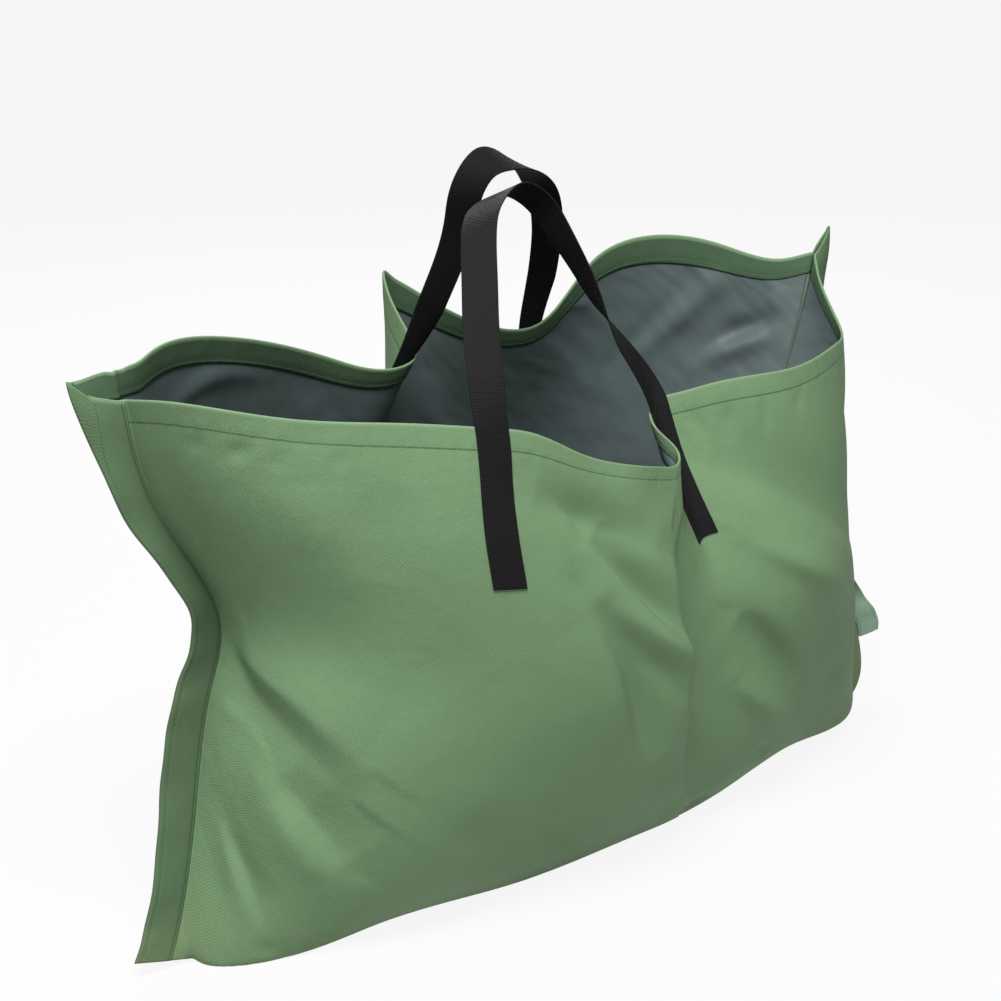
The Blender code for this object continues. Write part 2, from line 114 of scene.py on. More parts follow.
def naturalCurve(knots, values, at):
    knots = np.asarray(knots, float)
    values = np.asarray(values, float)
    at = np.atleast_1d(np.asarray(at, float))
    count = len(knots)
    step = np.diff(knots)
    system = np.eye(count)
    target = np.zeros((count, values.shape[1]))
    for index in range(1, count - 1):
        before, after = step[index - 1], step[index]
        system[index, index - 1:index + 2] = (before, 2 * (before + after), after)
        rise = (values[index + 1] - values[index]) / after
        fall = (values[index] - values[index - 1]) / before
        target[index] = 6 * (rise - fall)
    bend = np.linalg.solve(system, target)
    span = np.clip(np.searchsorted(knots, at, side="right") - 1, 0, count - 2)
    width = step[span][:, None]
    left = (knots[span + 1] - at)[:, None] / width
    right = (at - knots[span])[:, None] / width
    bulge = (left ** 3 - left) * bend[span] + (right ** 3 - right) * bend[span + 1]
    return left * values[span] + right * values[span + 1] + bulge * width ** 2 / 6


# how far along its line each point is
def reachAlong(points):
    steps = np.linalg.norm(np.diff(points, axis=-2), axis=-1)
    start = np.zeros(steps.shape[:-1] + (1,))
    return np.concatenate((start, np.cumsum(steps, axis=-1)), axis=-1)


def curveThrough(points, at):
    points = np.asarray(points, float)
    knots = reachAlong(points)
    return naturalCurve(knots / knots[-1], points, at)


# a line's values at places along its reach
def lineAt(values, reach, at):
    return np.stack([np.interp(at, reach, column) for column in values.T], axis=-1)


def unit(vectors):
    return vectors / np.linalg.norm(vectors, axis=-1, keepdims=True)


def smooth(share):
    share = np.clip(share, 0, 1)
    return share * share * (3 - 2 * share)


# 1 at a place, fading to nothing beyond its reach
def near(distance, reach):
    return np.exp(-(distance / reach) ** 2)


def settled(height):
    ease = pouch["floorEasing"]
    eased = np.clip(height + ease, 0, 2 * ease)
    return np.where(height > ease, height, eased ** 2 / (4 * ease))


def wallPoints(rows, shares, depths):
    ends = zip(pouch["leftSeam"], rows + (pouch["keel"],), pouch["rightSeam"])
    lines = [np.array((left, *row, right), float) / 1000 for left, row, right in ends]
    atRows = np.array([curveThrough(line, shares) for line in lines])
    points = naturalCurve(pouch["rowShares"], atRows.reshape(len(lines), -1), depths)
    points = points.reshape(len(depths), len(shares), 3)
    points[..., 2] = pouch["floorGap"] + settled(points[..., 2])
    return points + np.array(pouch["place"])


def outwardOf(points, side):
    across = np.gradient(points, axis=1)
    down = np.gradient(points, axis=0)
    return unit(np.cross(across, down)) * side


shares = np.linspace(0, 1, pouch["columns"])
depths = np.linspace(0, 1, pouch["rows"]) ** pouch["rimCloseness"]
downs = depths * pouch["drop"]

# how folds swell along their lines, and how far from the cloth's edges they reach their height
foldForm = {
    "lineSteps": 25,
    "ends": (0.06, 0.94),
    "swell": 0.8,
    "fromSeams": 0.05,
    "fromRim": 0.05,
    "fromKeel": 0.14,
    "atRim": 0.15,          # the share of their height that the sewn rim leaves
}


# folds, each along a line of (share across, share down) on the cloth, sizes in millimetres
# height is out of the bag, and the spreads are left and right of the line as it runs
def foldField(folds):
    across, down = np.meshgrid(shares * pouch["width"], downs)
    field = np.zeros(across.shape)
    for line, height, (wideLeft, wideRight) in folds:
        path = curveThrough(np.array(line) * (pouch["width"], pouch["drop"]),
                            np.linspace(0, 1, foldForm["lineSteps"]))
        best = np.full(across.shape, np.inf)
        sign = np.zeros(across.shape)
        along = np.zeros(across.shape)
        for index in range(len(path) - 1):
            start, step = path[index], path[index + 1] - path[index]
            long = np.dot(step, step)
            part = ((across - start[0]) * step[0] + (down - start[1]) * step[1]) / long
            part = np.clip(part, 0, 1)
            offX = across - start[0] - part * step[0]
            offY = down - start[1] - part * step[1]
            far = np.hypot(offX, offY)
            closer = far < best
            best = np.where(closer, far, best)
            sign = np.where(closer, step[0] * offY - step[1] * offX, sign)
            along = np.where(closer, (index + part) / (len(path) - 1), along)
        spread = np.where(sign > 0, wideLeft, wideRight) / 1000
        swell = np.sin(math.pi * np.clip(along, *foldForm["ends"])) ** foldForm["swell"]
        field += height / 1000 * swell * near(best, spread)
    return field


# how much of a fold may show: none on the seams and the bottom, little on the sewn rim
def slack():
    ends = smooth(shares / foldForm["fromSeams"]) * smooth((1 - shares) / foldForm["fromSeams"])
    rim = smooth(depths / foldForm["fromRim"]) * (1 - foldForm["atRim"]) + foldForm["atRim"]
    keel = smooth((1 - depths) / foldForm["fromKeel"])
    return ends[None] * (rim * keel)[:, None]


frontFolds = (
    # puckers under the hem, the hollow beside the binding, the long fold from the seam's waist
    (((0.106, 0.042), (0.087, 0.074)), -2.6, (6, 8)),
    (((0.069, 0.044), (0.055, 0.070)), -2.0, (6, 6)),
    (((0.135, 0.040), (0.122, 0.085)), -1.7, (6, 8)),
    (((0.180, 0.038), (0.172, 0.075)), -1.2, (7, 8)),
    (((0.004, 0.06), (0.010, 0.18), (0.030, 0.31)), -7.0, (16, 40)),
    (((0.140, 0.09), (0.145, 0.22)), 2.6, (30, 30)),
    (((0.218, 0.07), (0.205, 0.16), (0.200, 0.25)), -4.0, (30, 32)),
    (((0.000, 0.352), (0.026, 0.402), (0.088, 0.432), (0.150, 0.482), (0.178, 0.515)), 9.5, (13, 60)),
    (((0.000, 0.400), (0.028, 0.450), (0.080, 0.484), (0.136, 0.530), (0.160, 0.560)), -13.0, (78, 18)),
    (((0.008, 0.516), (0.045, 0.522)), 3.0, (12, 8)),
    (((0.004, 0.56), (0.012, 0.66)), -3.0, (14, 12)),
    (((0.092, 0.555), (0.132, 0.612), (0.172, 0.690)), -13.0, (16, 40)),
    (((0.086, 0.600), (0.120, 0.660), (0.150, 0.725)), 4.0, (26, 12)),
    (((0.028, 0.715), (0.052, 0.755), (0.086, 0.810)), 3.4, (18, 6)),
    (((0.040, 0.708), (0.064, 0.750), (0.098, 0.806)), -4.8, (7, 22)),
    (((0.084, 0.835), (0.122, 0.845)), -2.8, (9, 10)),
    (((0.180, 0.40), (0.250, 0.52), (0.290, 0.68)), 3.5, (40, 44)),
    # the hollow between the legs, the bands that run to the crease, and the crease itself
    (((0.335, 0.095), (0.412, 0.135), (0.500, 0.180)), -11.0, (24, 32)),
    (((0.400, 0.16), (0.456, 0.255), (0.512, 0.375)), -21.0, (15, 30)),
    (((0.400, 0.265), (0.445, 0.325), (0.505, 0.392)), 8.0, (13, 18)),
    (((0.435, 0.345), (0.480, 0.420), (0.508, 0.49)), -8.0, (14, 13)),
    (((0.382, 0.25), (0.408, 0.35), (0.440, 0.46), (0.486, 0.605)), -15.0, (17, 40)),
    (((0.372, 0.27), (0.394, 0.36), (0.424, 0.47), (0.470, 0.61)), 5.0, (50, 13)),
    (((0.518, 0.170), (0.505, 0.235), (0.502, 0.320), (0.502, 0.447), (0.510, 0.55), (0.530, 0.66),
      (0.550, 0.75)), 19.0, (44, 17)),
    (((0.560, 0.150), (0.538, 0.205), (0.530, 0.270), (0.527, 0.380), (0.529, 0.48), (0.545, 0.60),
      (0.568, 0.74)), -8.5, (7, 34)),
    (((0.565, 0.79), (0.612, 0.815)), -4.5, (14, 13)),
    (((0.260, 0.62), (0.300, 0.67), (0.340, 0.74)), -5.0, (20, 28)),
    (((0.360, 0.66), (0.410, 0.76)), -4.0, (16, 22)),
    # right of the gathered rim
    (((0.655, 0.02), (0.660, 0.09)), -2.0, (6, 7)),
    (((0.690, 0.03), (0.684, 0.09)), -2.5, (6, 8)),
    (((0.728, 0.03), (0.720, 0.11)), -2.0, (7, 7)),
    (((0.770, 0.03), (0.764, 0.08)), -1.5, (7, 7)),
    (((0.640, 0.110), (0.730, 0.200), (0.785, 0.290), (0.830, 0.362), (0.856, 0.404)), -16.0, (22, 50)),
    (((0.655, 0.255), (0.712, 0.335), (0.770, 0.430), (0.800, 0.50)), 10.0, (15, 26)),
    (((0.622, 0.385), (0.680, 0.495), (0.730, 0.610)), -13.0, (26, 15)),
    (((0.628, 0.525), (0.672, 0.610), (0.722, 0.700)), 8.5, (14, 18)),
    (((0.664, 0.700), (0.702, 0.750)), -4.6, (15, 12)),
    (((0.860, 0.05), (0.880, 0.20), (0.890, 0.32)), -3.0, (14, 20)),
    (((0.780, 0.60), (0.830, 0.70)), -4.0, (18, 22)),
)
backFolds = (
    (((0.905, 0.150), (0.935, 0.128), (0.975, 0.110)), 6.8, (10, 12)),
    (((0.890, 0.185), (0.930, 0.160), (0.980, 0.145)), -6.8, (14, 10)),
    (((0.815, 0.16), (0.878, 0.090), (0.920, 0.03)), -6.8, (14, 20)),
    (((0.790, 0.17), (0.850, 0.100), (0.890, 0.04)), 4.1, (12, 12)),
    (((0.965, 0.05), (0.985, 0.12)), -5.4, (9, 10)),
    (((0.73, 0.03), (0.76, 0.07), (0.79, 0.13)), -2.2, (7, 9)),
    (((0.70, 0.05), (0.74, 0.12), (0.77, 0.20)), 2.2, (8, 10)),
    (((0.10, 0.10), (0.16, 0.06), (0.24, 0.05)), -3.4, (9, 12)),
    (((0.06, 0.20), (0.16, 0.26), (0.26, 0.42)), -7.4, (22, 26)),
    (((0.30, 0.10), (0.33, 0.26), (0.34, 0.44)), -6.8, (18, 24)),
    (((0.55, 0.08), (0.57, 0.26), (0.62, 0.44)), -7.4, (20, 26)),
    (((0.40, 0.30), (0.50, 0.42), (0.62, 0.50)), 6.8, (24, 22)),
    (((0.68, 0.34), (0.78, 0.46), (0.86, 0.62)), -8.1, (20, 26)),
    (((0.20, 0.55), (0.32, 0.62), (0.40, 0.74)), -7.4, (20, 24)),
    (((0.52, 0.62), (0.60, 0.70), (0.70, 0.80)), -6.1, (18, 22)),
)

# the bindings folded over the side seams; at the top they stand open like ears
# the ears' offsets are of the front wall, the back wall and the tip of the fold, in metres
binding = {
    "width": 0.038,
    "cloth": 0.0008,
    "fromSeam": 0.0006,
    "turnRadius": 0.0020,
    "half": 0.0021,         # half its thickness
    "puff": (0.0005, 0.6),              # between the stitches, and how uneven
    "drawnIn": (0.0005, 0.0016),        # at the stitches, and how far around them
    "waves": ((0.0016, 23, 1), (0.0009, 61, 0)),
    "innerStitch": 0.0034,
    "outerStitch": 0.0345,
    "topStitch": 0.0300,    # where the outer row ends up at the top, over the length below
    "topLength": 0.07,
    "stitchLift": 0.00035,
    "rows": 161,
    "facePoints": 21,
    "turnPoints": 7,
    "flapShares": (0.18, 0.36, 0.54, 0.72, 0.90),
    "flapInset": 0.0014,
    "seamFloor": 0.002,
    "floorGap": 0.0005,
    "tipFrom": 0.88,        # the front face follows the tip from this share of the width on
    "left": {
        "front": (-0.002, -0.004, 0.001), "back": (-0.003, 0.015, 0.024),
        "tip": (-0.015, 0.001, 0.015), "reach": 0.036, "down": 0.110, "tipDown": 0.070,
    },
    "right": {
        "front": (0.0, -0.0015, 0.0), "back": (0.0, 0.002, 0.002),
        "tip": (0.0, 0.0, 0.0), "reach": 0.030, "down": 0.080, "tipDown": 0.050,
    },
}


def seamFrame(side, at):
    line = np.array(pouch[side + "Seam"], float) / 1000
    points = naturalCurve(pouch["rowShares"], line, at) + np.array(pouch["place"])
    points[:, 2] = np.maximum(points[:, 2], binding["seamFloor"])
    out = unit(naturalCurve(pouch["rowShares"], pouch[side + "Flare"], at))
    along = unit(np.gradient(points, axis=0))
    front = unit(np.cross(along, out))
    front *= -np.sign(front[:, 1:2])
    return points, out, front


# how far a place at the top of a side seam has moved
# face is 1 for the front half of the binding and -1 for the back
def earOffset(side, face, across, down):
    ear = binding[side]
    across, down = (np.asarray(item, float)[..., None] for item in np.broadcast_arrays(across, down))
    tipFrom = binding["tipFrom"] if face > 0 else 0
    tipShare = smooth((across - tipFrom) / (1 - tipFrom))
    own = np.array(ear["front" if face > 0 else "back"]) * (1 - smooth(down / ear["down"]))
    tip = np.array(ear["tip"]) * (1 - smooth(down / ear["tipDown"]))
    return own * (1 - tipShare) + tip * tipShare


# half the binding's thickness, across from the seam (0) to the fold (1)
def bindingHalf(at, across):
    puff, uneven = binding["puff"]
    puffed = puff * np.sin(math.pi * across) * (1 + uneven * np.sin(at * 46 + 2 * across))
    drawn, reach = binding["drawnIn"]
    stitched = sum(drawn * near(across * binding["width"] - row, reach)
                   for row in (binding["innerStitch"], binding["outerStitch"]))
    return binding["half"] + puffed - stitched


def bindingWave(at):
    waves = (height * np.sin(at * rate + start) for height, rate, start in binding["waves"])
    return sum(waves)[:, None]


# a line down the seam, inside or on one half of the binding
def inBinding(side, face, at, across, inwards=0.0, wave=0.0):
    points, out, front = seamFrame(side, at)
    across = np.broadcast_to(across, at.shape)
    half = (bindingHalf(at, across) - inwards)[:, None]
    flat = binding["width"] - binding["fromSeam"] - binding["turnRadius"]
    place = points + out * (binding["fromSeam"] + across * flat)[:, None]
    place = place + front * (face * half + wave * across[:, None])
    return place + earOffset(side, face, across, at * pouch["drop"])


# sharp corners of the rims that the curve alone would round: share, width, then offset
rimTips = {
    "down": 0.045,
    "front": (),
    "back": ((0.492, 0.011, (-0.004, 0.0, 0.010)), (0.014, 0.015, (0.0, 0.0, -0.005))),
}


# one panel's middle surface, and the same with its edges carried on inside the bindings
def layWall(name, side, folds):
    middle = wallPoints(pouch[name], shares, depths)
    middle = middle + outwardOf(middle, side) * (foldField(folds) * slack())[..., None]
    reach = reachAlong(middle)
    for edge, far in (("left", reach), ("right", reach[:, -1:] - reach)):
        fade = near(far, binding[edge]["reach"])
        middle = middle + earOffset(edge, -side, 0.0, downs)[:, None] * fade[..., None]
    for share, wide, offset in rimTips[name]:
        far = reach[:1] - np.interp(share, shares, reach[0])
        fade = near(far, wide) * (1 - smooth(downs / rimTips["down"]))[:, None]
        middle = middle + np.array(offset) * fade[..., None]
    middle[..., 1] += side * pouch["apart"]
    wave = bindingWave(depths)
    left, right = ([inBinding(edge, -side, depths, across, binding["flapInset"], wave)
                    for across in binding["flapShares"]] for edge in ("left", "right"))
    wide = np.concatenate((np.stack(left[::-1], axis=1), middle, np.stack(right, axis=1)), axis=1)
    for grid in (middle, wide):
        grid[..., 2] = np.maximum(grid[..., 2], pouch["floorGap"])
    return {"middle": middle, "normals": outwardOf(middle, side),
            "wide": wide, "wideNormals": outwardOf(wide, side)}


walls = {"front": layWall("front", -1, frontFolds), "back": layWall("back", 1, backFolds)}
print("walls laid")


# a sheet's own coordinates, in metres across and down
def clothUv(across, down):
    return np.stack(np.broadcast_arrays(across, down), axis=-1)


# the row above a depth, and how far below that row it is
def rowAt(depth):
    row = np.interp(depth, depths, np.arange(len(depths)))
    top = np.clip(np.floor(row).astype(int), 0, len(depths) - 2)
    return top, (row - top)[..., None]


# a value of a grid anywhere between its points
def sample(grid, share, depth):
    column = np.clip(np.asarray(share, float), 0, 1) * (len(shares) - 1)
    left = np.clip(np.floor(column).astype(int), 0, len(shares) - 2)
    right = (column - left)[..., None]
    top, down = rowAt(depth)
    upper = grid[top, left] * (1 - right) + grid[top, left + 1] * right
    lower = grid[top + 1, left] * (1 - right) + grid[top + 1, left + 1] * right
    return upper * (1 - down) + lower * down


# the same for whole columns, each at its own depth
def atDepth(grid, depth):
    top, down = rowAt(depth)
    columns = np.arange(grid.shape[1])
    return grid[top, columns] * (1 - down) + grid[top + 1, columns] * down


def gridMesh(name, points, uv):
    rows, columns = points.shape[:2]
    shape = bmesh.new()
    bmesh.ops.create_grid(shape, x_segments=columns - 1, y_segments=rows - 1, size=0.5)
    mesh = bpy.data.meshes.new(name)
    shape.to_mesh(mesh)
    shape.free()
    flat = np.empty(len(mesh.vertices) * 3)
    mesh.vertices.foreach_get("co", flat)
    flat = flat.reshape(-1, 3) + 0.5
    column = np.rint(flat[:, 0] * (columns - 1)).astype(int)
    row = np.rint(flat[:, 1] * (rows - 1)).astype(int)
    mesh.vertices.foreach_set("co", points[row, column].ravel())
    layer = mesh.uv_layers.new(name="cloth")
    corner = np.empty(len(mesh.loops), int)
    mesh.loops.foreach_get("vertex_index", corner)
    layer.data.foreach_set("uv", uv[row, column][corner].ravel())
    mesh.shade_smooth()
    mesh.update()
    return mesh


def addObject(name, data):
    item = bpy.data.objects.new(name, data)
    scene.collection.objects.link(item)
    return item


# a thin closed sheet through a grid of points, with its thickness applied
def makeSheet(name, points, uv, thickness, material, bevel=0.0):
    piece = addObject(name, gridMesh(name, points, uv))
    solid = piece.modifiers.new("thickness", "SOLIDIFY")
    solid.thickness = thickness
    solid.offset = 0.0
    if bevel:
        edge = piece.modifiers.new("edge", "BEVEL")
        edge.width = bevel
        edge.segments = 2
        edge.limit_method = "ANGLE"
        edge.angle_limit = math.radians(60)
    bpy.context.view_layer.update()
    graph = bpy.context.evaluated_depsgraph_get()
    final = bpy.data.meshes.new_from_object(piece.evaluated_get(graph))
    piece.modifiers.clear()
    piece.data = final
    final.name = name
    final.shade_smooth()
    final.materials.append(material)
    return piece


class Signal:
    def __init__(self, tree, socket):
        self.tree = tree
        self.socket = socket

    # another output of the same node
    def other(self, output):
        return Signal(self.tree, self.socket.node.outputs[output])

    def math(self, operation, first, second=None):
        inputs = {0: first} if second is None else {0: first, 1: second}
        return self.tree.node("Math", {"operation": operation}, inputs)

    def __add__(self, other):
        return self.math("ADD", self, other)

    def __radd__(self, other):
        return self.math("ADD", other, self)

    def __sub__(self, other):
        return self.math("SUBTRACT", self, other)

    def __rsub__(self, other):
        return self.math("SUBTRACT", other, self)

    def __mul__(self, other):
        return self.math("MULTIPLY", self, other)

    def __rmul__(self, other):
        return self.math("MULTIPLY", other, self)

    def sine(self):
        return self.math("SINE", self)

    def size(self):
        return self.math("ABSOLUTE", self)

    # 0 below low and 1 above high, with soft ends
    def between(self, low, high):
        return self.tree.node("MapRange", {"interpolation_type": "SMOOTHSTEP"},
                              {0: self, 1: low, 2: high})


class Tree:
    def __init__(self, owner):
        owner.use_nodes = True
        self.nodes = owner.node_tree.nodes
        self.links = owner.node_tree.links

    def node(self, kind, settings=None, inputs=None, output=0):
        node = self.nodes.new("ShaderNode" + kind)
        for key, value in (settings or {}).items():
            setattr(node, key, value)
        for key, value in (inputs or {}).items():
            self.feed(node.inputs[key], value)
        return Signal(self, node.outputs[output])

    def feed(self, socket, value):
        if isinstance(value, Signal):
            self.links.new(value.socket, socket)
        else:
            socket.default_value = value


class Finish(Tree):
    def __init__(self, name, colour, roughness, **fixed):
        self.material = bpy.data.materials.new(name)
        super().__init__(self.material)
        self.material.diffuse_color = (*colour, 1)
        self.shader = self.nodes["Principled BSDF"]
        self.surface(Base_Color=(*colour, 1), Roughness=roughness, **fixed)

    def surface(self, **sockets):
        for name, value in sockets.items():
            self.feed(self.shader.inputs[name.replace("_", " ")], value)

    # the cloth's own coordinates, whole and apart
    def clothPlace(self):
        place = self.node("UVMap", {"uv_map": "cloth"})
        across = self.node("SeparateXYZ", None, {0: place})
        return place, across, across.other(1)

    def noise(self, place, scale, detail=2.0, roughness=0.5, stretch=None):
        if stretch:
            place = self.node("Mapping", None, {"Vector": place, "Scale": stretch})
        return self.node("TexNoise", None, {"Vector": place, "Scale": scale, "Detail": detail,
                                            "Roughness": roughness})

    def mix(self, factor, first, second):
        return self.node("Mix", {"data_type": "RGBA"}, {0: factor, 6: first, 7: second}, 2)

    def bump(self, height):
        relief = self.node("Bump", None, {"Height": height, "Distance": 1.0, "Strength": 1.0})
        self.surface(Normal=relief)


def tint(colour, factor):
    return tuple(channel * factor for channel in colour[:3]) + (1,)


# coated twill: fine ribs that climb to the right, uneven dye, paler ridges, soil near the bottom, and
# some painted light and shade
clothLook = {
    "green": (0.158, 0.262, 0.136, 1),
    "deep": (0.108, 0.196, 0.094, 1),
    "pale": (0.212, 0.325, 0.186, 1),
    "soil": (0.140, 0.172, 0.070, 1),
    # painted shade: the hem turned inside the mouth is the same cloth, drawn darker with this colour
    "inside": (0.034, 0.068, 0.042, 1),
    # painted light: a pale colour for the lower right binding's flange
    "paintedLight": (0.360, 0.560, 0.400, 1),
    "slope": (0.66, 0.75),
    "ribPitch": 0.0021,
    "ribHeight": 0.00010,
    "roughness": 0.64,
}
nowhere = 9.0       # further down than any cloth


# the seams get a line of painted shade at these places, in metres down or across
def twill(name, look, paintedShadeFactor=1.0, soilFrom=nowhere, paintedLightFrom=nowhere, seamsDown=(), seamsAcross=()):
    finish = Finish(name, look["green"][:3], look["roughness"], Specular_IOR_Level=0.16)
    green, deep, pale = (tint(look[tone], paintedShadeFactor) for tone in ("green", "deep", "pale"))
    place, across, down = finish.clothPlace()
    turn = 2 * math.pi / look["ribPitch"]
    wander = finish.noise(place, 90.0, 3.0, 0.6)
    right, up = look["slope"]
    ribs = ((across * right + down * up + wander * 0.0016) * turn).sine() * 0.5 + 0.5
    threads = (across * (turn * 1.35)).sine() * 0.25 + (down * (turn * 1.2)).sine() * 0.25 + 0.5
    grain = finish.noise(place, 900.0, 2.0, 0.7)
    streaks = finish.noise(place, 1.0, 3.0, 0.6, stretch=(9.0, 210.0, 1.0))
    clouds = finish.noise(place, 7.0, 3.0, 0.55)
    patches = finish.noise(place, 45.0, 4.0, 0.6)
    weave = ribs * 0.42 + threads * 0.22 + grain * 0.75
    soil = (down + (patches - 0.5) * 0.20).between(soilFrom, soilFrom + 0.16)
    colour = finish.mix(weave.between(0.25, 1.15), deep, pale)
    # how much of each layer shows, and its colour; the sixth is painted light on the lower right
    # binding
    # the last two are a painted highlight along the rim's fold edge and painted shade on the hem inside
    for share, tone in (
        (0.42, green),
        (clouds.between(0.35, 0.75) * 0.20, deep),
        (patches.between(0.50, 0.85) * 0.14, pale),
        (streaks.between(0.55, 0.80) * 0.12, deep),
        (soil * 0.45, look["soil"]),
        # painted light: the binding is mixed toward a pale colour below this depth
        (down.between(paintedLightFrom, paintedLightFrom + 0.06) * 0.8, look["paintedLight"]),
        # painted highlight: a thin paler line along the rim's fold edge
        ((1 - down.size().between(0.0003, 0.0016)) * 0.35, look["pale"]),
        # painted shade on the hem band inside the rim
        ((1 - down.between(-0.0026, -0.0010)) * 0.7, look["inside"]),
    ):
        colour = finish.mix(share, colour, tone)
    # painted shade: the cloth is darkened along each seam line
    for way, seams in ((down, seamsDown), (across.size(), seamsAcross)):
        for at in seams:
            paintedSeamShade = 1 - (way - at).size().between(0.0004, 0.0013)
            colour = finish.mix(paintedSeamShade * 0.55, colour, tint(look["deep"], 0.35))
    roughness = look["roughness"] + (clouds - 0.5) * 0.16 + (0.5 - ribs) * 0.06
    finish.surface(Base_Color=colour, Roughness=roughness)
    finish.bump(ribs * look["ribHeight"] + grain * 0.00016 + patches * 0.0009 + clouds * 0.003)
    return finish.material


# the waterproof coating: smooth, softly wrinkled, with the weave faint under its sheen
liningLook = {
    "slate": (0.090, 0.116, 0.116, 1),
    "light": (0.160, 0.190, 0.198, 1),
    "teal": (0.072, 0.112, 0.104, 1),
    "roughness": 0.54,
}


def coating(name, look):
    finish = Finish(name, look["slate"][:3], look["roughness"], Specular_IOR_Level=0.40)
    place, across, down = finish.clothPlace()
    clouds = finish.noise(place, 8.0, 2.0, 0.5)
    swells = finish.noise(place, 1.0, 2.0, 0.5, stretch=(16.0, 11.0, 1.0))
    grain = finish.noise(place, 750.0, 2.0, 0.6)
    right, up = clothLook["slope"]
    turn = 2 * math.pi / clothLook["ribPitch"]
    ribs = ((across * right + down * up) * turn).sine() * 0.5 + 0.5
    colour = finish.mix(clouds.between(0.3, 0.75), look["slate"], look["teal"])
    colour = finish.mix(grain * 0.25, colour, look["light"])
    roughness = look["roughness"] + (clouds - 0.5) * 0.24 + grain * 0.08
    finish.surface(Base_Color=colour, Roughness=roughness)
    finish.bump(swells * 0.007 + ribs * 0.00003 + grain * 0.00010)
    return finish.material


webbingLook = {
    "black": (0.0075, 0.0070, 0.0076, 1),
    "worn": (0.0190, 0.0178, 0.0200, 1),
    "ribPitch": 0.0021,
    "ribHeight": 0.00030,
    "roughness": 0.62,
}


def webbing(name, look):
    finish = Finish(name, look["black"][:3], look["roughness"], Specular_IOR_Level=0.10)
    place, across, down = finish.clothPlace()
    turn = 2 * math.pi / look["ribPitch"]
    wander = finish.noise(place, 90.0, 2.0, 0.5)
    ribs = ((down + wander * 0.0006) * turn).sine() * 0.5 + 0.5
    cords = (across * (turn * 1.6)).sine() * 0.5 + 0.5
    grain = finish.noise(place, 1200.0, 2.0, 0.7)
    rubbed = (ribs * 0.55 + cords * 0.2) * grain.between(0.2, 0.8)
    colour = finish.mix(rubbed, look["black"], look["worn"])
    finish.surface(Base_Color=colour, Roughness=look["roughness"] - ribs * 0.10 + grain * 0.1)
    finish.bump(ribs * look["ribHeight"] + cords * 0.00010 + grain * 0.00008)
    return finish.material


def thread(name, colour):
    finish = Finish(name, colour, 0.6, Specular_IOR_Level=0.25)
    place = finish.node("TexCoord", None, None, 3)
    ply = finish.noise(place, 1500.0, 2.0, 0.6)
    finish.surface(Base_Color=finish.mix(ply, tint(colour, 0.6), tint(colour, 1.5)))
    finish.bump(ply * 0.0001)
    return finish.material


# the panels' rims: the green cloth runs over the rim and is sewn down inside, the coating is under it
hem = {
    "width": 0.022,
    "stitchDown": 0.0195,
    "stitchLift": (0.0009, 0.0004),     # outside, inside
    "outside": 0.0003,      # the cloth's middle, out from the wall's
    "foldRadius": 0.0011,
    "foldRise": 1.4,
    "flatInBinding": 0.4,
    "drawnTogether": (0.0007, 0.004),   # at the stitches, and how far around them
    "sewnIn": (0.0006, 0.0016),
    "puckers": (0.00045, 0.009),
    "puckerPitch": 0.017,
    "edgeWander": 0.0009,
    "insideRows": 12,
    "foldRows": 7,
    "cloth": 0.0006,
    "coating": 0.0003,
    "coatingInside": 0.0004,
    "coatingFrom": 0.6,     # share of the hem's width where the coating's sheet begins
}

clothFinish = twill("coatedTwill", clothLook, soilFrom=0.47, seamsDown=(hem["stitchDown"],))
seams = (binding["innerStitch"], 2 * binding["width"] - binding["innerStitch"])
# painted shade: the bindings are the panels' twill with its colours darkened to 0.60
bindingFinish = {
    "left": twill("leftBindingTwill", clothLook, 0.60, soilFrom=0.52, seamsAcross=seams),
    # painted light low on the right binding
    "right": twill("rightBindingTwill", clothLook, 0.60, paintedLightFrom=0.44, seamsAcross=seams),
}
liningFinish = coating("slateCoating", liningLook)
webbingFinish = webbing("ribbedWebbing", webbingLook)
hemThread = thread("hemThread", (0.058, 0.110, 0.052))
seamThread = thread("seamThread", (0.018, 0.042, 0.020))
blackThread = thread("blackThread", (0.010, 0.0095, 0.011))
print("finishes made")


def rimPuckers(reach, down):
    (sewnIn, line), (height, wide) = hem["sewnIn"], hem["puckers"]
    off = down - hem["stitchDown"]
    waves = np.sin(reach * 2 * math.pi / hem["puckerPitch"] + 1.3 * np.sin(reach * 21))
    waves = waves * np.sin(reach * 37 + 1)
    return height * near(off, wide) * waves - sewnIn * near(off, line)


